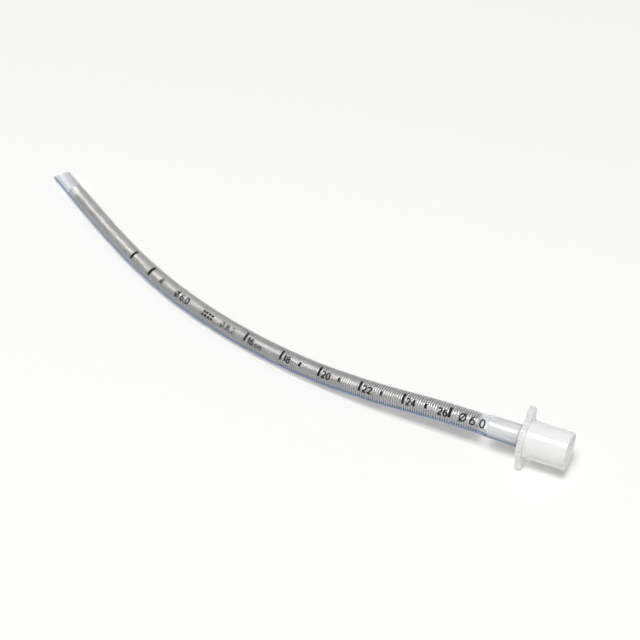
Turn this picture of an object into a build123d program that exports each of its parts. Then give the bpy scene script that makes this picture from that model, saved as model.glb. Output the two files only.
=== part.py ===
from build123d import *

import os
from math import cos, degrees, radians, sin, tan

# Wire-reinforced airway tube with a bevelled tip and a 15 mm breathing-circuit connector.
# Millimetres. +X runs along the connector's axis, out of its mouth. +Z is up, and z = 0 is the
# surface that the tube lies on. While it is modelled, x = 0 is the tube's end at the connector.

# Wall of the tube, from the lumen outwards
lumen_diameter = 6.0
liner_wall = 0.35
wire_diameter = 0.4
jacket_wall = 0.35

# Lengths along the tube
clear_tip = 22.6
clear_end = 15.2
bevel_angle = 40.0

# Line of blue filled plastic, let into the outside of the jacket
line_width = 1.5
line_depth = 0.2
line_below_side = 38.0

# Connector: cone for the breathing circuit
cone_base_diameter = 15.5
cone_taper = 1 / 40
cone_length = 16.5
rim_chamfer = 0.3
mouth_diameter = 12.4
mouth_depth = 12.5
mouth_lead = 1.6
mouth_lead_depth = 0.45
funnel_length = 3.0

# Connector: spigot inside the tube's stretched end
spigot_wall = 0.6
spigot_gap = 2.3
spigot_chamfer = 0.35
spigot_lead = 0.9
shoulder_length = 1.3
shoulder_height = 0.25
flare_length = 3.0
tube_end_round = 0.2

# Connector: flange with two finger ears and grip grooves
flange_thickness = 2.4
flange_diameter = 18.6
ear_span = 26.1
ear_width = 7.0
ear_root_round = 1.2
ear_lean = 25.0
flange_edge_chamfer = 0.3
groove_count = 9
groove_pitch_angle = 13.0
groove_radius = 0.5
groove_depth = 0.4

# Sizes that follow
lumen_radius = lumen_diameter / 2
liner_radius = lumen_radius + liner_wall
winding_radius = liner_radius + wire_diameter
tube_radius = winding_radius + jacket_wall
line_floor_radius = tube_radius - line_depth
line_half_angle = degrees(line_width / 2 / tube_radius)
line_angle = -line_below_side
tube_wall = tube_radius - lumen_radius

spigot_radius = lumen_radius + spigot_wall
spigot_reach = clear_end - spigot_gap
stretch = (lumen_radius + tube_radius) / (2 * spigot_radius + tube_wall)
stretched_liner_radius = spigot_radius + liner_wall * stretch
stretched_tube_radius = spigot_radius + tube_wall * stretch

ear_tip_radius = ear_width / 2
axis_height = (ear_span / 2 - ear_tip_radius) * cos(radians(ear_lean)) + ear_tip_radius

flange_start = shoulder_length
cone_start = flange_start + flange_thickness
cone_end = cone_start + cone_length
cone_base_radius = cone_base_diameter / 2
cone_end_radius = cone_base_radius - cone_length * cone_taper / 2
mouth_radius = mouth_diameter / 2
mouth_floor = cone_end - mouth_depth
flange_radius = flange_diameter / 2
ear_angle = 90.0 - ear_lean

# Places where the tube turns, from the tip to the connector, as it lies: the far half lies on the
# surface, and the near part climbs to the connector's axis. The run at each end is straight.
lying = tube_radius
turns = [
    (-276.4, 89.8, lying),
    (-222.7, 55.6, lying),
    (-198.3, 41.2, lying),
    (-173.3, 29.0, lying),
    (-147.0, 19.2, lying),
    (-119.8, 11.9, lying),
    (-92.4, 6.3, lying + (axis_height - lying) * 0.15),
    (-64.6, 2.3, lying + (axis_height - lying) * 0.52),
    (-34.0, 0.0, axis_height),
    (-clear_end, 0.0, axis_height),
]
bend_share = 0.45


def bend_radii(points):
    """Largest even radius at each turn: its tangents take a set share of the shorter run."""
    corners = [Vector(*p) for p in points]
    radii = []
    for before, corner, after in zip(corners, corners[1:], corners[2:]):
        run_in = corner - before
        run_out = after - corner
        half_turn = radians(run_in.get_angle(run_out)) / 2
        radii.append(bend_share * min(run_in.length, run_out.length) / tan(half_turn))
    return radii


def bent_run(points):
    """Smooth centre line through the turns, as straight runs joined by tangent arcs."""
    return FilletPolyline(*points, radius=bend_radii(points))


def point_after(points, distance):
    """Point on the first straight run, at a distance from its start."""
    start = Vector(*points[0])
    direction = (Vector(*points[1]) - start).normalized()
    return tuple(start + direction * distance)


tube_line = bent_run(turns[::-1])
coil_line = bent_run(turns[:0:-1] + [point_after(turns, clear_tip)])
tip_point = Vector(*turns[0])
tip_direction = (Vector(*turns[1]) - tip_point).normalized()

tube_axis = Axis((0, 0, axis_height), (1, 0, 0))
profile_plane = Plane(origin=(0, 0, axis_height), x_dir=(1, 0, 0), z_dir=(0, -1, 0))
run_start = Plane(origin=tube_line @ 0, x_dir=(0, -1, 0), z_dir=tube_line % 0)
flange_plane = Plane(origin=(flange_start, 0, axis_height), x_dir=(0, 1, 0), z_dir=(1, 0, 0))


def turned(points):
    """Solid of revolution about the tube's end run, from (x, radius) points."""
    return revolve(profile_plane * Polygon(*points, align=None), axis=tube_axis)


def flared(start_radius, end_radius):
    """Layer of the stretched end as a full round, from the coil's end to the tube's end."""
    return turned(
        [
            (-clear_end, 0),
            (-clear_end, start_radius),
            (-clear_end + flare_length, end_radius),
            (0, end_radius),
            (0, 0),
        ]
    )


def swept(section, line):
    """Section carried along a centre line that starts where the stretched end begins."""
    return sweep(run_start * section, path=line)


def ring(outer, inner):
    """Round wall section."""
    return Circle(outer) - Circle(inner)


def line_wedge():
    """Wedge from the tube's centre, over the width of the coloured line."""
    reach = 4 * tube_radius
    edges = [radians(line_angle - line_half_angle), radians(line_angle + line_half_angle)]
    return Polygon((0, 0), *[(reach * cos(edge), reach * sin(edge)) for edge in edges], align=None)


def tube_end():
    """Outer form of the stretched end, with its rim rounded."""
    solid = flared(tube_radius, stretched_tube_radius)
    rim = solid.edges().filter_by(GeomType.CIRCLE).sort_by(Axis.X)[-1]
    return fillet(rim, tube_end_round)


def end_line():
    """Coloured line over the stretched end."""
    shell = tube_end() - flared(line_floor_radius, stretched_tube_radius - line_depth)
    return shell & extrude(run_start * line_wedge(), -clear_end)


def bevel_cut():
    """Block that leaves the slanted tip, with its long side against the surface."""
    slope = radians(bevel_angle)
    up = Vector(0, 0, 1)
    normal = up * cos(slope) - tip_direction * sin(slope)
    long_side = tip_point - up * tube_radius
    face = Plane(origin=long_side, x_dir=up.cross(tip_direction), z_dir=normal)
    size = 6 * tube_radius
    return face * Pos(0, 0, size / 2) * Box(size, size, size)


def make_liner():
    """Inner layer of the wall, smooth from the bevelled tip to the stretched end."""
    bent = swept(ring(liner_radius, lumen_radius), tube_line)
    end = flared(liner_radius, stretched_liner_radius) - flared(lumen_radius, spigot_radius)
    return bent + end - bevel_cut()


def make_coil():
    """Envelope of the close wire turns, wound on the liner between the two clear ends."""
    return swept(ring(winding_radius, liner_radius), coil_line)


def make_line():
    """Coloured line, set flush in the jacket over the tube's whole length."""
    strip = ring(tube_radius, line_floor_radius) & line_wedge()
    return swept(strip, tube_line) + end_line() - bevel_cut()


def make_jacket():
    """Outer layer of the wall: it covers the coil and joins the liner at both clear ends."""
    notch = ring(2 * tube_radius, line_floor_radius) & line_wedge()
    bent = swept(Circle(tube_radius) - notch, tube_line)
    bent -= swept(Circle(liner_radius), tube_line)
    bent -= swept(Circle(winding_radius), coil_line)
    end = tube_end() - flared(liner_radius, stretched_liner_radius) - end_line()
    return bent + end - bevel_cut()


def flange_outline():
    """Round flange with two ears, its inner corners rounded and its sides grooved for grip."""
    ears = SlotOverall(ear_span, ear_width, rotation=ear_angle)
    blank = Circle(flange_radius) + ears
    blank = offset(offset(blank, ear_root_round), -ear_root_round)
    spread = (groove_count - 1) * groove_pitch_angle
    for side in (ear_angle + 90, ear_angle - 90):
        grooves = PolarLocations(
            flange_radius - groove_depth + groove_radius,
            groove_count,
            start_angle=side - spread / 2,
            angular_range=spread,
            endpoint=True,
        )
        blank -= grooves * Circle(groove_radius)
    return blank


def make_connector():
    """Connector moulding: spigot, shoulder, eared flange, cone and stepped bore in one piece."""
    body = turned(
        [
            (-spigot_reach, 0),
            (-spigot_reach, spigot_radius - spigot_chamfer),
            (-spigot_reach + spigot_lead, spigot_radius),
            (0, spigot_radius),
            (0, spigot_radius + shoulder_height),
            (flange_start, spigot_radius + 2 * shoulder_height),
            (cone_start, cone_base_radius),
            (cone_end - rim_chamfer, cone_end_radius),
            (cone_end, cone_end_radius - rim_chamfer),
            (cone_end, 0),
        ]
    )
    flange = extrude(flange_plane * flange_outline(), flange_thickness)
    faces = flange.faces().sort_by(Axis.X)
    rims = faces[0].outer_wire().edges() + faces[-1].outer_wire().edges()
    body += chamfer(rims, flange_edge_chamfer)
    return body - turned(
        [
            (-spigot_reach, 0),
            (-spigot_reach, lumen_radius),
            (mouth_floor - funnel_length, lumen_radius),
            (mouth_floor, mouth_radius),
            (cone_end - mouth_lead, mouth_radius),
            (cone_end, mouth_radius + mouth_lead_depth),
            (cone_end, 0),
        ]
    )


pieces = {
    "liner": make_liner(),
    "reinforcing_coil": make_coil(),
    "jacket": make_jacket(),
    "radiopaque_line": make_line(),
    "connector": make_connector(),
}

# The origin moves to the middle of the whole part's box, on the surface it lies on
boxes = [piece.bounding_box() for piece in pieces.values()]
low = [min(getattr(box.min, side) for box in boxes) for side in "XYZ"]
high = [max(getattr(box.max, side) for box in boxes) for side in "XYZ"]
to_origin = Pos(-(low[0] + high[0]) / 2, -(low[1] + high[1]) / 2, -low[2])
print(f"tube end moved by {to_origin.position}, axis height {axis_height:.4f} mm")

os.makedirs("parts", exist_ok=True)
for name, piece in pieces.items():
    piece.label = name
    export_step(to_origin * piece, f"parts/{name}.step")
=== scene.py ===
"""Wire-reinforced airway tube, lying on a pale floor.

A clear flexible tube with a steel wire wound inside its wall, a blue line along its side, black depth
marks, a bevelled tip and a milky connector moulding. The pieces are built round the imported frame, in
metres. Station means the distance along the tube's centre line from the far end of its bevel, and an
angle round the tube is 0 on the viewer's side of the section and 90 degrees at its top.
"""

import logging
import math
from collections.abc import Iterator, Mapping, Sequence
from dataclasses import dataclass, replace
from enum import Enum, IntEnum

import bmesh
import bpy
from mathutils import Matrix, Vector

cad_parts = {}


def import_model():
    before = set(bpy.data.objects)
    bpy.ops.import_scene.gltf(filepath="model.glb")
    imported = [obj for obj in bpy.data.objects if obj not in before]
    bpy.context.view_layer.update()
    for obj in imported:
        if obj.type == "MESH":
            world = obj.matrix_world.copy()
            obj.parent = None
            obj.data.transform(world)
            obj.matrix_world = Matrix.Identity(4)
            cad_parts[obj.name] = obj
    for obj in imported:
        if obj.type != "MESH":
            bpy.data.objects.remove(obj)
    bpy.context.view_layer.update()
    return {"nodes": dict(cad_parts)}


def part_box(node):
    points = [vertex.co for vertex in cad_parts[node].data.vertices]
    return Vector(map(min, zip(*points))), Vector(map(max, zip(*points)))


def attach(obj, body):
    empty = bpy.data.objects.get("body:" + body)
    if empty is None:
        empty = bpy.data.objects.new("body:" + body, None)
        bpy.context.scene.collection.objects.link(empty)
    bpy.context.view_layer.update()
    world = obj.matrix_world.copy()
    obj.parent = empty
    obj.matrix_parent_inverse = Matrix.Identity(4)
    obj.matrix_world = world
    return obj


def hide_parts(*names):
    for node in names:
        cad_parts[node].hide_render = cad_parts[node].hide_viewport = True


MM = 0.001
BODY = "root"
# Range in which the noise mostly stays
NOISE_LOW = 0.3
NOISE_HIGH = 0.7
# Turn in radians below which a corner isn't rounded
NEARLY_STRAIGHT = 1e-5
# Steps of a pen stroke: a share of a straight one, and degrees of an oval
STROKE_STEP = 0.125
OVAL_STEP = 12.0
SLICE_TOLERANCE = 1e-7
Piece = bpy.types.Object
Socket = bpy.types.NodeSocket
Colour = tuple[float, float, float]
Point = tuple[float, float, float]
Place = tuple[float, float]
# From the tube's end to the connector's mouth
CONE_REACH = 20.2 * MM
# Degrees by which the print and the blue line are rolled round the tube at its tip
TIP_ROLL = 24.0
log = logging.getLogger("airway_tube")


class Slot(Enum):
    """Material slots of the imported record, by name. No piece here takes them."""

    CLEAR_JACKET = "clear_jacket"
    WIRE = "wire"
    BLUE_LINE = "blue_line"


class NodeBoard:
    """A node tree, with short ways to add nodes to it."""

    def __init__(self, tree: bpy.types.NodeTree) -> None:
        """Takes the tree that the nodes go into."""
        self.tree = tree

    def feed(self, socket: Socket, value: object) -> None:
        """Gives a socket its value: a link from another socket, or a plain value."""
        if isinstance(value, Socket):
            self.tree.links.new(value, socket)
        else:
            socket.default_value = value

    def node(self, kind: str, inputs: Mapping[str | int, object], **settings: object) -> bpy.types.Node:
        """Adds a node.

        Args:
            kind: Blender's type name of the node.
            inputs: Value or source for each socket, by the socket's name or number.
            settings: The node's own settings.

        Returns:
            The node.
        """
        node = self.tree.nodes.new(kind)
        for name, value in settings.items():
            setattr(node, name, value)
        for name, value in inputs.items():
            self.feed(node.inputs[name], value)
        return node

    def made(self, kind: str, inputs: Mapping[str | int, object], **settings: object) -> Socket:
        """Adds a node, as node does, and returns its first result."""
        return self.node(kind, inputs, **settings).outputs[0]

    def math(self, operation: str, *values: object) -> Socket:
        """Adds a sum on numbers and returns its result."""
        return self.made("ShaderNodeMath", dict(enumerate(values)), operation=operation)

    def seen(self, gloss_share: float) -> Socket:
        """Adds a share that is 1 to the camera and 0 to light that only brightens surfaces.

        Args:
            gloss_share: The share in reflections and through clear plastic.

        Returns:
            The share.
        """
        path = self.node("ShaderNodeLightPath", {}).outputs
        clear = self.math("MAXIMUM", path["Is Glossy Ray"], path["Is Transmission Ray"])
        return self.math("MAXIMUM", path["Is Camera Ray"], self.math("MULTIPLY", clear, gloss_share))


class ShaderBoard(NodeBoard):
    """A material's node tree with its Principled node, and short ways to dress it."""

    def __init__(self, name: str) -> None:
        """Starts a material.

        Args:
            name: Name of the material.
        """
        self.material = bpy.data.materials.new(name)
        self.material.use_nodes = True
        super().__init__(self.material.node_tree)
        self.tree.nodes.clear()
        self.surface = self.node("ShaderNodeBsdfPrincipled", {})
        self.output = self.node("ShaderNodeOutputMaterial", {"Surface": self.surface.outputs[0]})

    def set(self, **values: object) -> None:
        """Sets sockets of the Principled node, named as in Blender with underscores for spaces."""
        for name, value in values.items():
            self.feed(self.surface.inputs[name.replace("_", " ")], value)

    def noise(self, scale: float, detail: float) -> Socket:
        """Adds noise on object coordinates.

        Args:
            scale: Grains in a metre.
            detail: Octaves of the noise.

        Returns:
            The noise's value, mostly from NOISE_LOW to NOISE_HIGH.
        """
        place = self.node("ShaderNodeTexCoord", {}).outputs["Object"]
        values = {"Vector": place, "Scale": scale, "Detail": detail}
        return self.node("ShaderNodeTexNoise", values).outputs["Fac"]

    def ranged(self, source: Socket, low: float, high: float) -> Socket:
        """Carries noise over to values from low, where the noise is low, to high."""
        noise = {"Value": source, "From Min": NOISE_LOW, "From Max": NOISE_HIGH}
        return self.node("ShaderNodeMapRange", {**noise, "To Min": low, "To Max": high}).outputs["Result"]

    def tinted(self, source: Socket, first: Colour, second: Colour) -> None:
        """Colours the surface from the first colour, where the noise is low, to the second."""
        values = {"Factor": self.ranged(source, 0, 1), "A": (*first, 1), "B": (*second, 1)}
        self.set(Base_Color=self.node("ShaderNodeMix", values, data_type="RGBA").outputs["Result"])

    def rough(self, source: Socket, low: float, high: float) -> None:
        """Varies the roughness between two values with the noise."""
        self.set(Roughness=self.ranged(source, low, high))

    def bumped(self, source: Socket, depth: float, strength: float) -> None:
        """Adds fine relief, depth metres high, of which the strength is the share that shows."""
        values = {"Distance": depth, "Strength": strength, "Height": source}
        self.set(Normal=self.node("ShaderNodeBump", values).outputs["Normal"])

    def lamp_light(self, tint: Colour) -> None:
        """Lets lamps shine through the surface, as clear plastic does.

        Args:
            tint: Share of each colour that comes through.
        """
        path = self.node("ShaderNodeLightPath", {})
        passing = self.made("ShaderNodeBsdfTransparent", {"Color": (*tint, 1)})
        values = {"Fac": path.outputs["Is Shadow Ray"], 1: self.surface.outputs[0], 2: passing}
        self.end_in(self.node("ShaderNodeMixShader", values))

    def end_in(self, shader: bpy.types.Node) -> None:
        """Makes a shader node the material's surface."""
        self.feed(self.output.inputs["Surface"], shader.outputs[0])


@dataclass(frozen=True)
class ClearWallFinish:
    """Clear flexible plastic of the tube's wall, glossy with faint draw waves."""

    name: str = "clear_wall"
    colour: Colour = (0.89, 0.9, 0.92)
    passed_light: Colour = (0.85, 0.845, 0.835)
    refraction: float = 1.47
    roughness: tuple[float, float] = (0.09, 0.14)
    wave_scale: float = 120.0
    wave_depth: float = 0.0007 * MM
    wave_strength: float = 0.3

    def material(self) -> bpy.types.Material:
        """Builds the clear plastic."""
        board = ShaderBoard(self.name)
        board.set(Base_Color=(*self.colour, 1), Transmission_Weight=1.0, IOR=self.refraction)
        waves = board.noise(self.wave_scale, 2)
        board.rough(waves, *self.roughness)
        board.bumped(waves, self.wave_depth, self.wave_strength)
        board.lamp_light(self.passed_light)
        return board.material


@dataclass(frozen=True)
class GrainFinish:
    """Opaque finish whose colour and roughness vary with a fine grain."""

    name: str
    first: Colour
    second: Colour
    roughness: Place
    grain_scale: float
    grain_detail: float = 3
    metallic: float = 0.0
    specular: float = 0.5

    def material(self) -> bpy.types.Material:
        """Builds the material."""
        board = ShaderBoard(self.name)
        board.set(Metallic=self.metallic, Specular_IOR_Level=self.specular)
        grain = board.noise(self.grain_scale, self.grain_detail)
        board.tinted(grain, self.first, self.second)
        board.rough(grain, *self.roughness)
        return board.material


STEEL_WIRE = GrainFinish(
    "steel_wire", (0.96, 0.945, 0.92), (0.88, 0.865, 0.84), (0.24, 0.36), 1800.0, metallic=1.0
)
BLUE_PLASTIC = GrainFinish("blue_line", (0.07, 0.2, 0.46), (0.1, 0.25, 0.52), (0.35, 0.5), 900.0)
BLACK_INK = GrainFinish(
    "black_ink", (0.002, 0.002, 0.0025), (0.012, 0.012, 0.013), (0.5, 0.7), 2600.0, 4, specular=0.2
)
FAINT_INK = replace(BLACK_INK, name="faint_ink", first=(0.02, 0.02, 0.02), second=(0.05, 0.05, 0.05))


@dataclass(frozen=True)
class MilkyMouldingFinish:
    """Milky translucent plastic of the connector, with a fine moulded skin."""

    colour: Colour = (0.955, 0.95, 0.942)
    cloudy: Colour = (0.93, 0.926, 0.918)
    passed_light: Colour = (0.5, 0.495, 0.48)
    scatter: float = 1.0
    scatter_radius: Point = (1.0, 1.0, 0.97)
    scatter_scale: float = 6.0 * MM
    clearness: float = 0.3
    refraction: float = 1.49
    roughness: tuple[float, float] = (0.14, 0.2)
    skin_scale: float = 400.0
    skin_depth: float = 0.001 * MM
    skin_strength: float = 0.4

    def material(self) -> bpy.types.Material:
        """Builds the milky plastic."""
        board = ShaderBoard("milky_moulding")
        board.set(
            Subsurface_Weight=self.scatter,
            Subsurface_Radius=self.scatter_radius,
            Subsurface_Scale=self.scatter_scale,
            Transmission_Weight=self.clearness,
            IOR=self.refraction,
        )
        skin = board.noise(self.skin_scale, 3)
        board.tinted(skin, self.colour, self.cloudy)
        board.rough(skin, *self.roughness)
        board.bumped(skin, self.skin_depth, self.skin_strength)
        board.lamp_light(self.passed_light)
        return board.material


class TreeBoard(NodeBoard):
    """A geometry node tree, with named inputs and short ways to add nodes."""

    def __init__(self, name: str) -> None:
        """Starts a tree with a geometry output.

        Args:
            name: Name of the tree.
        """
        super().__init__(bpy.data.node_groups.new(name, "GeometryNodeTree"))
        self.tree.interface.new_socket("Geometry", in_out="OUTPUT", socket_type="NodeSocketGeometry")
        self.source = self.tree.nodes.new("NodeGroupInput")
        self.sink = self.tree.nodes.new("NodeGroupOutput")

    def inputs(self, kind: str, *names: str) -> list[Socket]:
        """Gives named inputs, and adds those that aren't there.

        Args:
            kind: Kind of socket, such as Float.
            names: Names of the inputs.

        Returns:
            The inputs as sources inside the tree.
        """
        for name in names:
            if name not in self.source.outputs:
                self.tree.interface.new_socket(name, in_out="INPUT", socket_type="NodeSocket" + kind)
        return [self.source.outputs[name] for name in names]

    def vector(self, operation: str, *values: object) -> Socket:
        """Adds a sum on vectors and returns its result."""
        return self.made("ShaderNodeVectorMath", dict(enumerate(values)), operation=operation)

    def scaled(self, vector: Socket, factor: object) -> Socket:
        """Multiplies a vector by a number and returns it."""
        values = {0: vector, "Scale": factor}
        return self.made("ShaderNodeVectorMath", values, operation="SCALE")

    def finish(self, geometry: Socket, material: Socket) -> None:
        """Ends the tree in real, dressed geometry.

        Args:
            geometry: What the tree has made.
            material: The material to set on it.
        """
        real = self.node("GeometryNodeRealizeInstances", {"Geometry": geometry})
        dressed = self.node("GeometryNodeSetMaterial", {"Geometry": real.outputs[0], "Material": material})
        self.feed(self.sink.inputs["Geometry"], dressed.outputs[0])

    def run(self, name: str, mesh: bpy.types.Mesh, values: Mapping[str, object]) -> Piece:
        """Runs the tree on a mesh.

        Args:
            name: Name of the piece.
            mesh: Mesh that goes in.
            values: Value for each named input.

        Returns:
            The result as a plain mesh object in the scene.
        """
        carrier = placed(name + "_flat", mesh)
        modifier = carrier.modifiers.new(name, "NODES")
        modifier.node_group = self.tree
        for item in self.tree.interface.items_tree:
            if item.in_out == "INPUT" and item.name in values:
                modifier[item.identifier] = values[item.name]
        depsgraph = bpy.context.evaluated_depsgraph_get()
        made = bpy.data.meshes.new_from_object(carrier.evaluated_get(depsgraph), depsgraph=depsgraph)
        carrier.modifiers.clear()
        bpy.data.objects.remove(carrier)
        bpy.data.meshes.remove(mesh)
        made.name = name
        return placed(name, made)


def placed(name: str, data: bpy.types.ID) -> Piece:
    """Puts mesh or curve data in the scene as an object at the origin.

    Args:
        name: Name of the object.
        data: Mesh or curve.

    Returns:
        The object.
    """
    thing = bpy.data.objects.new(name, data)
    bpy.context.scene.collection.objects.link(thing)
    return thing


def tidy_solid(piece: Piece, smooth: bool = True) -> None:
    """Turns a closed piece's faces outwards and sets its shading.

    Args:
        piece: The piece.
        smooth: Whether its faces are shaded smooth.
    """
    mesh = bmesh.new()
    mesh.from_mesh(piece.data)
    bmesh.ops.recalc_face_normals(mesh, faces=mesh.faces)
    for face in mesh.faces:
        face.smooth = smooth
    mesh.to_mesh(piece.data)
    mesh.free()


def ended(mesh: bmesh.types.BMesh, name: str) -> bpy.types.Mesh:
    """Gives the plain mesh of an edited one, which is used up."""
    data = bpy.data.meshes.new(name)
    mesh.to_mesh(data)
    mesh.free()
    return data


def slab(columns: Sequence[Sequence[Point]], closed: bool) -> bpy.types.Mesh:
    """Joins rows of points into a skin.

    Args:
        columns: Rows of points, each row the same number long and closed on itself.
        closed: Whether the last row joins the first one. If not, both ends are capped.

    Returns:
        The mesh.
    """
    count = len(columns[0])
    points = [point for row in columns for point in row]
    faces = []
    rows = len(columns)
    for row in range(rows if closed else rows - 1):
        start, end = row * count, (row + 1) % rows * count
        for place in range(count):
            after = (place + 1) % count
            faces.append((start + place, start + after, end + after, end + place))
    if not closed:
        faces.append(tuple(range(count)))
        faces.append(tuple(range((rows - 1) * count, rows * count)))
    mesh = bpy.data.meshes.new("flat")
    mesh.from_pydata(points, [], faces)
    return mesh


def evenly(start: float, end: float, step: float) -> Iterator[float]:
    """Gives evenly spaced values from start to end, both included, about a step apart."""
    count = max(1, round(abs(end - start) / step))
    for place in range(count + 1):
        yield start + (end - start) * place / count


def eased(share: float) -> float:
    """Gives a share from 0 to 1 with a soft start and end."""
    share = min(1.0, max(0.0, share))
    return share * share * (3 - 2 * share)


@dataclass
class TubeRoute:
    """Centre line of the tube as it lies, as straight runs joined by tangent arcs.

    The far half lies on the floor, and the near part climbs to the connector's axis.
    """

    tube_end: Vector
    lying_height: float = 4.1 * MM
    bend_share: float = 0.45
    arc_step: float = 1.0 * MM
    turns: tuple[Point, ...] = (
        (-276.4, 89.8, 0.0),
        (-222.7, 55.6, 0.0),
        (-198.3, 41.2, 0.0),
        (-173.3, 29.0, 0.0),
        (-147.0, 19.2, 0.0),
        (-119.8, 11.9, 0.0),
        (-92.4, 6.3, 0.15),
        (-64.6, 2.3, 0.52),
        (-34.0, 0.0, 1.0),
        (-15.2, 0.0, 1.0),
        (0.0, 0.0, 1.0),
    )

    def corners(self) -> list[Vector]:
        """Gives the turns in the row frame, from the tip to the tube's end."""
        climb = self.tube_end.z - self.lying_height
        return [
            Vector((self.tube_end.x + x * MM, self.tube_end.y + y * MM, self.lying_height + climb * share))
            for x, y, share in self.turns
        ]

    def bend(self, before: Vector, corner: Vector, after: Vector) -> list[Vector]:
        """Rounds one corner.

        Args:
            before: Corner before it.
            corner: The corner.
            after: Corner after it.

        Returns:
            Points of the arc, or the corner itself where the line runs straight on.
        """
        run_in, run_out = corner - before, after - corner
        turn = run_in.angle(run_out)
        if turn < NEARLY_STRAIGHT:
            return [corner]
        tangent = self.bend_share * min(run_in.length, run_out.length)
        radius = tangent / math.tan(turn / 2)
        forward = run_in.normalized()
        inward = (run_out.normalized() - forward * math.cos(turn)).normalized()
        centre = corner - forward * tangent + inward * radius
        return [
            centre + (forward * math.sin(place) - inward * math.cos(place)) * radius
            for place in evenly(0, turn, self.arc_step / radius)
        ]

    def points(self) -> list[Vector]:
        """Gives the line's points from the tip to the tube's end."""
        corners = self.corners()
        line = [corners[0]]
        for before, corner, after in zip(corners, corners[1:], corners[2:]):
            line += self.bend(before, corner, after)
        return [*line, corners[-1]]

    def length(self) -> float:
        """Gives the line's length."""
        line = self.points()
        return sum((after - before).length for before, after in zip(line, line[1:]))

    def curve(self) -> Piece:
        """Puts the line in the scene for the trees to read. It is taken out again at the end."""
        data = bpy.data.curves.new("route", "CURVE")
        data.dimensions = "3D"
        line = self.points()
        spline = data.splines.new("POLY")
        spline.points.add(len(line) - 1)
        for point, place in zip(spline.points, line):
            point.co = (*place, 1)
        return placed("route", data)


class RouteWrap:
    """Wraps flat pieces round the tube.

    A flat piece has its station as x, its place round the tube as y, which is an angle times the arc
    radius, and its distance from the centre line as z.
    """

    RESAMPLE = 1.0 * MM

    def __init__(self, route: TubeRoute, arc_radius: float, roll: float) -> None:
        """Builds the wrapping tree and puts the route in the scene.

        Args:
            route: The tube's centre line.
            arc_radius: Radius at which y is a true length.
            roll: Angle by which the tube is rolled at its tip, and evenly less towards its end.
        """
        self.route = route
        self.arc_radius = arc_radius
        self.length = route.length()
        self.curve = route.curve()
        self.board = TreeBoard("wrap_round_tube")
        self.roll = roll
        self.build()

    def build(self) -> None:
        """Builds the wrapping tree."""
        board = self.board
        (flat,) = board.inputs("Geometry", "Flat")
        (line,) = board.inputs("Object", "Route")
        (material,) = board.inputs("Material", "Material")
        arc, roll, length = board.inputs("Float", "Arc Radius", "Roll", "Length")
        info = board.node("GeometryNodeObjectInfo", {"Object": line}, transform_space="ORIGINAL")
        values = {"Curve": info.outputs["Geometry"], "Length": self.RESAMPLE}
        even = board.made("GeometryNodeResampleCurve", values, mode="LENGTH")
        position = board.made("GeometryNodeInputPosition", {})
        parts = board.node("ShaderNodeSeparateXYZ", {"Vector": position})
        station, around, distance = parts.outputs
        values = {"Curves": even, "Length": station}
        sample = board.node("GeometryNodeSampleCurve", values, mode="LENGTH")
        tangent = sample.outputs["Tangent"]
        side = board.vector("NORMALIZE", board.vector("CROSS_PRODUCT", tangent, (0, 0, 1)))
        top = board.vector("CROSS_PRODUCT", side, tangent)
        left = board.math("SUBTRACT", 1.0, board.math("DIVIDE", station, length))
        angle = board.math("ADD", board.math("DIVIDE", around, arc), board.math("MULTIPLY", roll, left))
        outward = board.vector(
            "ADD",
            board.scaled(side, board.math("MULTIPLY", board.math("COSINE", angle), distance)),
            board.scaled(top, board.math("MULTIPLY", board.math("SINE", angle), distance)),
        )
        place = board.vector("ADD", sample.outputs["Position"], outward)
        moved = board.made("GeometryNodeSetPosition", {"Geometry": flat, "Position": place})
        board.finish(moved, material)

    def inputs(self, material: bpy.types.Material, rolled: bool) -> dict[str, object]:
        """Gives the tree's inputs.

        Args:
            material: The piece's material.
            rolled: Whether the piece follows the tube's roll.

        Returns:
            Value for each named input.
        """
        return {
            "Route": self.curve,
            "Arc Radius": self.arc_radius,
            "Roll": self.roll if rolled else 0.0,
            "Length": self.length,
            "Material": material,
        }

    def wrap(
        self, name: str, flat: bpy.types.Mesh, material: bpy.types.Material, rolled: bool = True
    ) -> Piece:
        """Wraps a flat mesh, which is used up, round the tube and gives the finished piece."""
        return self.board.run(name, flat, self.inputs(material, rolled))

    def nested(self, board: TreeBoard, flat: Socket) -> Socket:
        """Adds the wrapping tree to another tree, with inputs of the same names.

        Args:
            board: The other tree.
            flat: Flat geometry in it.

        Returns:
            The wrapped geometry.
        """
        group = board.node("GeometryNodeGroup", {}, node_tree=self.board.tree)
        board.feed(group.inputs["Flat"], flat)
        kinds = {"Arc Radius": "Float", "Roll": "Float", "Length": "Float"}
        for name, kind in {**kinds, "Route": "Object", "Material": "Material"}.items():
            board.feed(group.inputs[name], *board.inputs(kind, name))
        return group.outputs[0]


class WallFace(IntEnum):
    """Places on the wall with a finish of their own or with painted shade, numbered as its material slots."""

    CLEAR = 0
    DULL_SKIN = 1
    TUBE_END = 2
    CUT_TIP = 3
    COIL_EDGE = 4
    SHADED_SKIN = 5


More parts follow.
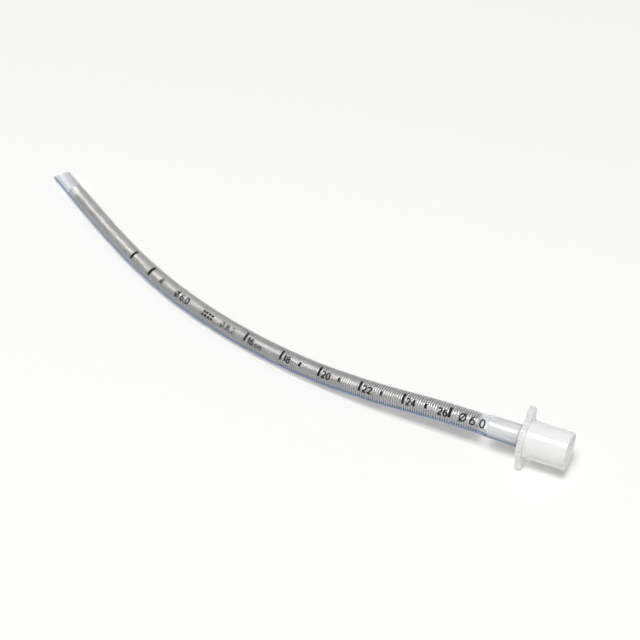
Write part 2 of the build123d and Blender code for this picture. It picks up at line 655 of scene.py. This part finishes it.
WALL_FINISHES: dict[WallFace, ClearWallFinish] = {
    WallFace.CLEAR: ClearWallFinish(),
    # Painted shade: the bore's skin under the wire is darker and passes less lamp light, so the gaps between
    # turns look dark.
    WallFace.DULL_SKIN: ClearWallFinish("dull_skin", (0.74, 0.73, 0.71), (0.42, 0.42, 0.42)),
    # Painted shade: the tube's cut end is a dark slate ring on the clear plastic.
    WallFace.TUBE_END: ClearWallFinish("end_face_painted_shade", (0.1, 0.14, 0.22), (0.4, 0.45, 0.55)),
    WallFace.CUT_TIP: ClearWallFinish("cut_face", (0.8, 0.81, 0.83), (0.7, 0.7, 0.7), roughness=(0.3, 0.4)),
    WallFace.COIL_EDGE: ClearWallFinish("coil_edge", (0.16, 0.14, 0.12), (0.3, 0.3, 0.3)),
    # Deeper painted shade on the bore's upper side, for darker gaps between the turns there.
    WallFace.SHADED_SKIN: ClearWallFinish("shaded_skin", (0.42, 0.42, 0.43), (0.42, 0.42, 0.42)),
}


@dataclass
class TubeWall:
    """Clear wall of the tube: one body over the wire, bevelled at the tip and stretched at its end."""

    wrap: RouteWrap
    radius: float = 4.1 * MM
    lumen_radius: float = 3.0 * MM
    stretched_radius: float = 4.541 * MM
    spigot_radius: float = 3.57 * MM
    clear_tip: float = 22.6 * MM
    clear_end: float = 15.2 * MM
    flare_length: float = 3.0 * MM
    flare_step: float = 0.3 * MM
    bevel_angle: float = 40.0
    bevel_fade: float = 14.0 * MM
    edge_width: float = 0.6 * MM
    # The deeper painted shade on the bore starts at this station and lies between these angles round the
    # tube.
    shade_start: float = 165.0 * MM
    shade_angles: tuple[float, float] = (58.0, 150.0)
    rim_round: float = 0.14 * MM
    end_round: float = 0.2 * MM
    row_step: float = 1.5 * MM
    segments: int = 80

    def widened(self, station: float, narrow: float, wide: float) -> float:
        """Gives a radius that goes from narrow to wide where the tube is stretched."""
        flare = (station - (self.wrap.length - self.clear_end)) / self.flare_length
        return narrow + (wide - narrow) * eased(flare)

    def outer_radius(self, station: float) -> float:
        """Gives the outer radius at a station."""
        return self.widened(station, self.radius, self.stretched_radius)

    def inner_radius(self, station: float) -> float:
        """Gives the bore's radius at a station. Over the spigot it bites a hair into the moulding."""
        return self.widened(station, self.lumen_radius, self.spigot_radius)

    def slanted(self, station: float, angle: float, radius: float) -> float:
        """Moves a station back to the bevel near the tip, for an angle in radians and a radius."""
        depth = (radius * math.sin(angle) + self.radius) / math.tan(math.radians(self.bevel_angle))
        return station + depth * max(0.0, 1 - station / self.bevel_fade)

    def profile(self) -> list[tuple[float, float]]:
        """Gives the wall's closed section along the tube, as (station, radius)."""
        end, rim, edge = self.wrap.length, self.rim_round, self.end_round
        flare = end - self.clear_end
        stations = [
            *evenly(rim, self.clear_tip, self.row_step),
            *evenly(self.clear_tip + self.edge_width, flare, self.row_step),
            *list(evenly(flare, flare + self.flare_length, self.flare_step))[1:],
            *list(evenly(flare + self.flare_length, end - edge, self.row_step))[1:],
        ]
        outside = [(station, self.outer_radius(station)) for station in stations]
        inside = [(station, self.inner_radius(station)) for station in reversed(stations)]
        outer, inner = self.stretched_radius, self.spigot_radius
        tube_end = [
            (end - 0.3 * edge, outer - 0.3 * edge),
            (end, outer - edge),
            (end, inner + 0.5 * edge),
            (end - 0.2 * edge, inner),
        ]
        tip = [
            (0.3 * rim, self.lumen_radius + 0.3 * rim),
            (0.0, self.lumen_radius + rim),
            (0.0, self.radius - rim),
            (0.3 * rim, self.radius - 0.3 * rim),
        ]
        return [*outside, *tube_end, *inside, *tip]

    def row_faces(self) -> list[WallFace]:
        """Gives the kind of the faces that start at each row of the profile."""
        end = self.wrap.length
        kinds = []
        for station, radius in self.profile():
            in_bore = radius == self.lumen_radius and station < end - self.clear_end
            past_coil = station - self.clear_tip
            if in_bore and past_coil > 0:
                # Under the wire the bore gets painted shade, deeper on its upper side past shade_start.
                skin = WallFace.SHADED_SKIN if station > self.shade_start else WallFace.DULL_SKIN
                at_edge = past_coil < self.edge_width + self.row_step / 2
                kinds.append(WallFace.COIL_EDGE if at_edge else skin)
            elif in_bore or station < self.rim_round:
                kinds.append(WallFace.CUT_TIP)
            else:
                kinds.append(WallFace.TUBE_END if station > end - self.end_round / 2 else WallFace.CLEAR)
        return kinds

    def dress(self, mesh: bpy.types.Mesh) -> None:
        """Gives the wall's faces their finishes, painted shade among them. The deeper painted shade is on the
        bore's upper side alone.

        Args:
            mesh: The finished wall, with its faces in the order of the profile.
        """
        for kind in list(WallFace)[1:]:
            mesh.materials.append(WALL_FINISHES[kind].material())
        kinds = self.row_faces()
        low, high = self.shade_angles
        for face in mesh.polygons:
            row, place = divmod(face.index, self.segments)
            kind = kinds[row]
            # The deeper painted shade stays on the bore's upper side; elsewhere the bore keeps the plainer
            # painted shade.
            if kind == WallFace.SHADED_SKIN and not low < 360 * place / self.segments < high:
                kind = WallFace.DULL_SKIN
            face.material_index = kind

    def build(self) -> Piece:
        """Builds the wall.

        Returns:
            The piece, in place of the CAD jacket and liner.
        """
        angles = [2 * math.pi * place / self.segments for place in range(self.segments)]
        rows = [
            [(self.slanted(station, angle, radius), angle * self.wrap.arc_radius, radius) for angle in angles]
            for station, radius in self.profile()
        ]
        material = WALL_FINISHES[WallFace.CLEAR].material()
        piece = self.wrap.wrap("clear_wall", slab(rows, True), material, rolled=False)
        tidy_solid(piece)
        self.dress(piece.data)
        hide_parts("jacket", "liner")
        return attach(piece, BODY)


@dataclass
class WireCoil:
    """Steel wire wound inside the wall, one real helix that follows the tube."""

    wrap: RouteWrap
    finish: GrainFinish = STEEL_WIRE
    start: float = 22.6 * MM
    clear_end: float = 15.2 * MM
    pitch: float = 1.0 * MM
    wire_radius: float = 0.2 * MM
    winding_radius: float = 3.55 * MM
    steps_in_turn: int = 15
    wire_sides: int = 8

    def tree(self) -> TreeBoard:
        """Builds the tree that winds the wire and wraps it round the route."""
        board = TreeBoard("wound_wire")
        start, pitch, turns, steps = board.inputs("Float", "Start", "Pitch", "Turns", "Steps in Turn")
        winding, wire, arc = board.inputs("Float", "Winding Radius", "Wire Radius", "Arc Radius")
        (sides,) = board.inputs("Int", "Wire Sides")
        count = board.math("ADD", board.math("MULTIPLY", turns, steps), 1.0)
        line = board.made("GeometryNodeMeshLine", {"Count": count})
        index = board.made("GeometryNodeInputIndex", {})
        turn = board.math("DIVIDE", index, steps)
        station = board.math("ADD", start, board.math("MULTIPLY", turn, pitch))
        angle = board.math("MULTIPLY", turn, 2 * math.pi)
        values = {"X": station, "Y": board.math("MULTIPLY", angle, arc), "Z": winding}
        flat = board.made("ShaderNodeCombineXYZ", values)
        wound = board.made("GeometryNodeSetPosition", {"Geometry": line, "Position": flat})
        helix = board.made("GeometryNodeMeshToCurve", {"Mesh": self.wrap.nested(board, wound)})
        section = board.made("GeometryNodeCurvePrimitiveCircle", {"Resolution": sides, "Radius": wire})
        values = {"Curve": helix, "Profile Curve": section, "Fill Caps": True}
        solid = board.made("GeometryNodeCurveToMesh", values)
        board.finish(solid, *board.inputs("Material", "Material"))
        return board

    def build(self) -> Piece:
        """Builds the wire.

        Returns:
            The piece, in place of the CAD coil's closed outline.
        """
        wound = self.wrap.length - self.clear_end - self.start - 2 * self.wire_radius
        values = {
            **self.wrap.inputs(self.finish.material(), False),
            "Start": self.start + self.wire_radius,
            "Pitch": self.pitch,
            "Turns": float(math.floor(wound / self.pitch)),
            "Steps in Turn": float(self.steps_in_turn),
            "Winding Radius": self.winding_radius,
            "Wire Radius": self.wire_radius,
            "Wire Sides": self.wire_sides,
        }
        piece = self.tree().run("reinforcing_wire", bpy.data.meshes.new("empty"), values)
        tidy_solid(piece)
        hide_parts("reinforcing_coil")
        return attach(piece, BODY)


@dataclass
class BlueLine:
    """Line of blue filled plastic, just under the wall's outer skin from end to end."""

    wrap: RouteWrap
    wall: TubeWall
    finish: GrainFinish = BLUE_PLASTIC
    width: float = 1.6 * MM
    depth: float = 0.2 * MM
    skin: float = 0.012 * MM
    inset: float = 0.03 * MM
    angle: float = -30.0
    row_step: float = 1.5 * MM
    steps_across: int = 6

    def row(self, station: float, roll: float) -> list[Point]:
        """Gives the section's points at a station.

        Args:
            station: The station.
            roll: The tube's roll there, in radians.

        Returns:
            The outer side's points and then the inner side's points back.
        """
        outer = self.wall.outer_radius(station) - self.skin
        half = self.width / 2 / self.wrap.arc_radius
        middle = math.radians(self.angle)
        angles = list(evenly(middle - half, middle + half, 2 * half / self.steps_across))
        there = [(angle, outer) for angle in angles]
        back = [(angle, outer - self.depth) for angle in reversed(angles)]
        return [
            (self.wall.slanted(station, angle + roll, radius), angle * self.wrap.arc_radius, radius)
            for angle, radius in [*there, *back]
        ]

    def build(self) -> Piece:
        """Builds the line.

        Returns:
            The piece, in place of the CAD line.
        """
        end = self.wrap.length
        rows = [
            self.row(station, self.wrap.roll * (1 - station / end))
            for station in evenly(self.inset, end - self.wall.end_round, self.row_step)
        ]
        piece = self.wrap.wrap("blue_side_line", slab(rows, False), self.finish.material())
        tidy_solid(piece, smooth=False)
        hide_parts("radiopaque_line")
        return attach(piece, BODY)


@dataclass(frozen=True)
class PenStroke:
    """One stroke of a figure, in shares of the figure's height."""

    points: tuple[Place, ...]
    closed: bool = False


def straight(start: Place, end: Place) -> PenStroke:
    """Draws a straight stroke, with points enough to bend round the tube."""
    run, rise = end[0] - start[0], end[1] - start[1]
    shares = evenly(0, 1, STROKE_STEP)
    return PenStroke(tuple((start[0] + run * share, start[1] + rise * share) for share in shares))


def oval(
    centre: Place, half_width: float, half_height: float, start: float = 0.0, end: float = 360.0
) -> PenStroke:
    """Draws an oval or a part of one.

    Args:
        centre: Its centre.
        half_width: Half its width.
        half_height: Half its height.
        start: Angle where the pen starts, in degrees.
        end: Angle where the pen ends.

    Returns:
        The stroke, closed if it goes right round.
    """
    closed = abs(end - start) >= 360
    turns = list(evenly(math.radians(start), math.radians(end), math.radians(OVAL_STEP)))
    points = tuple(
        (centre[0] + half_width * math.cos(turn), centre[1] + half_height * math.sin(turn)) for turn in turns
    )
    return PenStroke(points[:-1] if closed else points, closed)


@dataclass(frozen=True)
class Figure:
    """A digit, a letter of a unit or a general sign, drawn with a pen."""

    advance: float
    strokes: tuple[PenStroke, ...]


def drawn(advance: float, *strokes: PenStroke) -> Figure:
    """Gives the figure of some strokes, one after another."""
    return Figure(advance, strokes)


FIGURES: dict[str, Figure] = {
    "0": drawn(0.8, oval((0.3, 0.5), 0.27, 0.46)),
    "1": drawn(0.58, straight((0.3, 0.02), (0.3, 0.98)), straight((0.3, 0.96), (0.08, 0.78))),
    "2": drawn(
        0.8,
        oval((0.3, 0.7), 0.26, 0.26, 165, -38),
        straight((0.52, 0.56), (0.05, 0.05)),
        straight((0.03, 0.04), (0.58, 0.04)),
    ),
    "4": drawn(
        0.8,
        straight((0.43, 0.02), (0.43, 0.98)),
        straight((0.42, 0.96), (0.03, 0.3)),
        straight((0.0, 0.28), (0.62, 0.28)),
    ),
    "6": drawn(0.8, oval((0.3, 0.31), 0.26, 0.27), oval((0.56, 0.36), 0.52, 0.6, 105, 175)),
    "8": drawn(0.8, oval((0.3, 0.75), 0.21, 0.21), oval((0.3, 0.28), 0.26, 0.25)),
    ".": drawn(0.36, straight((0.1, 0.0), (0.1, 0.14))),
    "c": drawn(0.6, oval((0.25, 0.3), 0.22, 0.26, 50, 310)),
    "m": drawn(
        0.95,
        straight((0.05, 0.0), (0.05, 0.58)),
        oval((0.22, 0.38), 0.17, 0.18, 180, 0),
        straight((0.39, 0.38), (0.39, 0.0)),
        oval((0.56, 0.38), 0.17, 0.18, 180, 0),
        straight((0.73, 0.38), (0.73, 0.0)),
    ),
    "Ø": drawn(0.98, oval((0.38, 0.5), 0.35, 0.43), straight((0.02, -0.06), (0.74, 1.06))),
    "O": drawn(0.9, oval((0.38, 0.5), 0.36, 0.44), oval((0.38, 0.5), 0.14, 0.2)),
    " ": drawn(0.3),
}


@dataclass(frozen=True)
class Lettering:
    """A short print on the tube: where its first figure starts, its size, its angle and its pen."""

    name: str
    text: str
    station: float
    height: float
    angle: float
    pen: float
    faint: bool = False


SIZE_PRINTS = (
    Lettering("unit_after_first_number", "cm", 174.9 * MM, 2.6 * MM, 34.5, 0.42 * MM),
    Lettering("bore_size", "Ø 6.0", 124.4 * MM, 3.0 * MM, 41.5, 0.6 * MM),
    Lettering("bore_size_at_end", "Ø 6.0", 272.9 * MM, 3.5 * MM, 43.5, 0.6 * MM),
    Lettering("wall_size", "Ø 8.2", 154.4 * MM, 2.7 * MM, 41.5, 0.36 * MM, True),
    Lettering("plain_ring", "O", 112.6 * MM, 2.7 * MM, 45.5, 0.42 * MM, True),
)


@dataclass
class TubePrint:
    """Black print on the tube: depth ticks with plain numbers, two bands and the bore and wall sizes."""

    wrap: RouteWrap
    wall: TubeWall
    ink: GrainFinish = BLACK_INK
    faint_ink: GrainFinish = FAINT_INK
    ink_lift: float = 0.012 * MM
    ink_thickness: float = 0.02 * MM
    first_mark: float = 168.9 * MM
    mark_step: float = 10.0 * MM
    first_number: int = 16
    last_number: int = 26
    hidden_mark: int = 17
    tick_width: float = 1.1 * MM
    long_tick: float = 4.4 * MM
    short_tick: float = 1.9 * MM
    tick_angle: float = 50.0
    short_tick_drop: float = 8.0
    number_angle: float = 38.5
    number_height: float = 2.9 * MM
    number_gap: float = 1.5 * MM
    last_number_gap: float = -4.9 * MM
    pen: float = 0.6 * MM
    band_stations: tuple[float, float] = (89.2 * MM, 104.7 * MM)
    band_width: float = 1.5 * MM
    band_span: float = 5.0 * MM
    dash_start: float = 143.6 * MM
    dash_step: float = 1.75 * MM
    dashes_in_row: int = 4
    dash_length: float = 1.25 * MM
    dash_width: float = 1.0 * MM
    dash_rows: Place = (-8.0, 14.0)
    slice_step: float = 0.3 * MM

    def arc(self, angle: float) -> float:
        """Gives an angle in degrees as a place round the flat tube."""
        return math.radians(angle) * self.wrap.arc_radius

    def tick_tree(self) -> TreeBoard:
        """Builds the tree that repeats a tick along the tube, with every other one short."""
        board = TreeBoard("depth_ticks")
        first, step, hidden = board.inputs("Float", "First Station", "Step", "Hidden Tick")
        width, span, share = board.inputs("Float", "Tick Width", "Long Tick", "Short Share")
        place, drop = board.inputs("Float", "Place Round Tube", "Short Drop")
        distance, thickness = board.inputs("Float", "Distance", "Ink Thickness")
        (count,) = board.inputs("Int", "Count")
        line = board.made("GeometryNodeMeshLine", {"Count": count})
        index = board.made("GeometryNodeInputIndex", {})
        short = board.math("MODULO", index, 2.0)
        across = board.math("SUBTRACT", place, board.math("MULTIPLY", short, drop))
        station = board.math("ADD", first, board.math("MULTIPLY", index, step))
        spot = board.made("ShaderNodeCombineXYZ", {"X": station, "Y": across, "Z": distance})
        spread = board.made("GeometryNodeSetPosition", {"Geometry": line, "Position": spot})
        size = board.made("ShaderNodeCombineXYZ", {"X": width, "Y": span, "Z": thickness})
        bar = board.made("GeometryNodeMeshCube", {"Size": size, "Vertices X": 2, "Vertices Y": 17})
        left_out = board.math("SUBTRACT", 1.0, share)
        shrink = board.math("SUBTRACT", 1.0, board.math("MULTIPLY", short, left_out))
        scale = board.made("ShaderNodeCombineXYZ", {"X": 1.0, "Y": shrink, "Z": 1.0})
        values = {"A": index, "B": hidden}
        shown = board.made("FunctionNodeCompare", values, operation="NOT_EQUAL", data_type="FLOAT")
        values = {"Points": spread, "Selection": shown, "Instance": bar, "Scale": scale}
        ticks = board.made("GeometryNodeInstanceOnPoints", values)
        real = board.made("GeometryNodeRealizeInstances", {"Geometry": ticks})
        board.feed(board.sink.inputs["Geometry"], self.wrap.nested(board, real))
        return board

    def ticks(self) -> Piece:
        """Builds the depth ticks."""
        values = {
            **self.wrap.inputs(self.ink.material(), True),
            "First Station": self.first_mark,
            "Step": self.mark_step,
            "Count": self.last_number - self.first_number + 1,
            "Hidden Tick": float(self.hidden_mark - self.first_number),
            "Tick Width": self.tick_width,
            "Long Tick": self.long_tick,
            "Short Share": self.short_tick / self.long_tick,
            "Place Round Tube": self.arc(self.tick_angle),
            "Short Drop": self.arc(self.short_tick_drop),
            "Distance": self.wall.radius + self.ink_lift,
            "Ink Thickness": self.ink_thickness,
        }
        return self.tick_tree().run("depth_ticks", bpy.data.meshes.new("empty"), values)

    def bars(self, name: str, areas: Sequence[tuple[float, float, float, float]], ink: GrainFinish) -> Piece:
        """Builds rectangles of ink.

        Args:
            name: Name of the piece.
            areas: Middle station, middle place round the tube, width and span of each.
            ink: Its ink.

        Returns:
            The piece.
        """
        mesh = bmesh.new()
        for station, place, width, span in areas:
            made = bmesh.ops.create_cube(mesh, size=1.0)["verts"]
            for point in made:
                lift = self.ink_lift + point.co.z * self.ink_thickness
                point.co = (station + point.co.x * width, place + point.co.y * span, lift)
        return self.printed(name, mesh, ink)

    def printed(self, name: str, mesh: bmesh.types.BMesh, ink: GrainFinish) -> Piece:
        """Slices flat ink so that it can bend, lifts it onto the wall and wraps it.

        Args:
            name: Name of the piece.
            mesh: Flat ink, with its height over the wall as z.
            ink: Its ink.

        Returns:
            The piece.
        """
        places = [point.co.y for point in mesh.verts]
        for level in evenly(min(places), max(places), self.slice_step):
            plane = {"plane_co": (0, level, 0), "plane_no": (0, 1, 0), "dist": SLICE_TOLERANCE}
            bmesh.ops.bisect_plane(mesh, geom=[*mesh.verts, *mesh.edges, *mesh.faces], **plane)
        for point in mesh.verts:
            point.co.z += self.wall.outer_radius(point.co.x)
        return self.wrap.wrap(name, ended(mesh, "flat_print"), ink.material())

    def stroke_rows(self, points: Sequence[Place], width: float, closed: bool) -> list[list[Point]]:
        """Gives the ink's section at each point of a pen stroke.

        Args:
            points: Stations and places round the tube that the stroke runs through.
            width: Its width.
            closed: Whether it ends where it starts.

        Returns:
            Rows of four points on the flat tube.
        """
        rows = []
        for place, point in enumerate(points):
            before = points[place - 1] if closed or place else point
            after = points[(place + 1) % len(points)] if closed or place + 1 < len(points) else point
            across = Vector((before[1] - after[1], after[0] - before[0])).normalized() * width / 2
            base = self.wall.outer_radius(point[0]) + self.ink_lift
            half = self.ink_thickness / 2
            corners = ((across, -half), (across, half), (-across, half), (-across, -half))
            rows.append([(point[0] + side.x, point[1] + side.y, base + lift) for side, lift in corners])
        return rows

    def letters(self, lettering: Lettering) -> Piece:
        """Builds one short print with the pen.

        Args:
            lettering: The print.

        Returns:
            The piece.
        """
        mesh = bmesh.new()
        size = lettering.height
        left, low = lettering.station, self.arc(lettering.angle) - size / 2
        for sign in lettering.text:
            figure = FIGURES[sign]
            for stroke in figure.strokes:
                points = [(left + x * size, low + y * size) for x, y in stroke.points]
                part = slab(self.stroke_rows(points, lettering.pen, stroke.closed), stroke.closed)
                mesh.from_mesh(part)
                bpy.data.meshes.remove(part)
            left += figure.advance * size
        ink = self.faint_ink if lettering.faint else self.ink
        return self.wrap.wrap(lettering.name, ended(mesh, "flat_print"), ink.material())

    def numbers(self) -> list[Lettering]:
        """Gives the plain numbers beside the long ticks. The last one stands before its tick."""
        prints = []
        for number in range(self.first_number, self.last_number + 1, 2):
            gap = self.last_number_gap if number == self.last_number else self.number_gap
            station = self.first_mark + (number - self.first_number) * self.mark_step + gap
            size = (self.number_height, self.number_angle, self.pen)
            prints.append(Lettering(f"depth_number_{number}", str(number), station, *size))
        return prints

    def build(self) -> list[Piece]:
        """Builds all the print.

        Returns:
            The pieces.
        """
        pieces = [self.ticks()]
        pieces += [self.letters(lettering) for lettering in [*self.numbers(), *SIZE_PRINTS]]
        place = self.arc(self.tick_angle)
        bands = [(station, place, self.band_width, self.band_span) for station in self.band_stations]
        pieces.append(self.bars("glottis_bands", bands, self.ink))
        size = (self.dash_length, self.dash_width)
        dashes = [
            (self.dash_start + column * self.dash_step, self.arc(self.number_angle + offset), *size)
            for offset in self.dash_rows
            for column in range(self.dashes_in_row)
        ]
        pieces.append(self.bars("small_dashes", dashes, self.ink))
        for piece in pieces:
            tidy_solid(piece, smooth=False)
            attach(piece, BODY)
        return pieces


@dataclass
class ConnectorMoulding:
    """Milky connector: the CAD moulding itself, dressed."""

    node: Piece
    finish: MilkyMouldingFinish = MilkyMouldingFinish()

    def build(self) -> Piece:
        """Dresses the moulding and returns it."""
        self.node.data.materials.clear()
        self.node.data.materials.append(self.finish.material())
        return self.node


@dataclass
class Studio:
    """Pale floor, soft overhead lamp, even surroundings and the camera."""

    floor_size: float = 6.0
    floor_colour: Colour = (0.8, 0.79, 0.775)
    floor_glow: float = 0.085
    key_place: Point = (0.16, -1.8, 4.2)
    key_size: float = 1.32
    key_power: float = 183.0
    sky_colour: Colour = (0.94, 0.97, 1.0)
    sky_top: float = 0.34
    sky_side: float = 0.3
    gloss_share: float = 0.42
    camera_place: Point = (0.23307, -0.43508, 0.39315)
    camera_heading: float = 115.858
    camera_pitch: float = -38.92
    lens: float = 79.7
    sensor: float = 36.0

    def floor(self) -> Piece:
        """Builds the floor, which is white to the camera, to gloss and through clear plastic."""
        mesh = bmesh.new()
        bmesh.ops.create_grid(mesh, x_segments=1, y_segments=1, size=self.floor_size / 2)
        piece = placed("floor", ended(mesh, "floor"))
        board = ShaderBoard("pale_floor")
        board.set(Base_Color=(*self.floor_colour, 1), Roughness=0.9, Specular_IOR_Level=0.1)
        glow = board.math("MULTIPLY", board.seen(1.0), self.floor_glow)
        light = board.made("ShaderNodeEmission", {"Strength": glow})
        both = {0: board.surface.outputs[0], 1: light}
        board.end_in(board.node("ShaderNodeAddShader", both))
        piece.data.materials.append(board.material)
        return piece

    def surroundings(self) -> None:
        """Builds the sky: brighter overhead than at the side, and white to the camera."""
        world = bpy.data.worlds.new("surroundings")
        bpy.context.scene.world = world
        world.use_nodes = True
        board = NodeBoard(world.node_tree)
        board.tree.nodes.clear()
        place = board.node("ShaderNodeTexCoord", {}).outputs["Generated"]
        height = board.node("ShaderNodeSeparateXYZ", {0: place}).outputs["Z"]
        values = {"Value": height, "To Min": self.sky_side, "To Max": self.sky_top}
        strength = board.node("ShaderNodeMapRange", values).outputs["Result"]
        sky = board.node("ShaderNodeBackground", {"Color": (*self.sky_colour, 1), "Strength": strength})
        white = board.node("ShaderNodeBackground", {"Color": (1, 1, 1, 1)})
        values = {"Fac": board.seen(self.gloss_share), 1: sky.outputs[0], 2: white.outputs[0]}
        mix = board.made("ShaderNodeMixShader", values)
        board.node("ShaderNodeOutputWorld", {"Surface": mix})

    def lamps(self) -> None:
        """Builds the soft lamp over the tube."""
        data = bpy.data.lights.new("key", "AREA")
        data.size = self.key_size
        data.energy = self.key_power
        lamp = placed("key", data)
        lamp.location = self.key_place
        lamp.rotation_euler = (-Vector(self.key_place)).to_track_quat("-Z", "Y").to_euler()

    def camera(self) -> None:
        """Builds the camera at the photograph's viewing angle."""
        data = bpy.data.cameras.new("camera")
        data.lens = self.lens
        data.sensor_width = self.sensor
        camera = placed("camera", data)
        heading, pitch = math.radians(self.camera_heading), math.radians(self.camera_pitch)
        across = math.cos(pitch)
        look = Vector((across * math.cos(heading), across * math.sin(heading), math.sin(pitch)))
        camera.location = self.camera_place
        camera.rotation_euler = look.to_track_quat("-Z", "Y").to_euler()
        bpy.context.scene.camera = camera

    def build(self) -> None:
        """Builds the whole studio."""
        self.floor()
        self.surroundings()
        self.lamps()
        self.camera()
        bpy.context.scene.view_settings.view_transform = "Standard"


def main() -> None:
    """Builds the tube round the frame, then the studio."""
    logging.basicConfig(level=logging.INFO, format="%(name)s: %(message)s")
    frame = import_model()
    low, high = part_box("connector")
    tube_end = Vector((high.x - CONE_REACH, (low.y + high.y) / 2, (low.z + high.z) / 2))
    wrap = RouteWrap(TubeRoute(tube_end), TubeWall.radius, math.radians(TIP_ROLL))
    wall = TubeWall(wrap)
    pieces = [
        wall.build(),
        WireCoil(wrap).build(),
        BlueLine(wrap, wall).build(),
        ConnectorMoulding(frame["nodes"]["connector"]).build(),
        *TubePrint(wrap, wall).build(),
    ]
    bpy.data.objects.remove(wrap.curve)
    for piece in pieces:
        log.info("%s: %d faces", piece.name, len(piece.data.polygons))
    Studio().build()


if __name__ == "__main__":
    main()
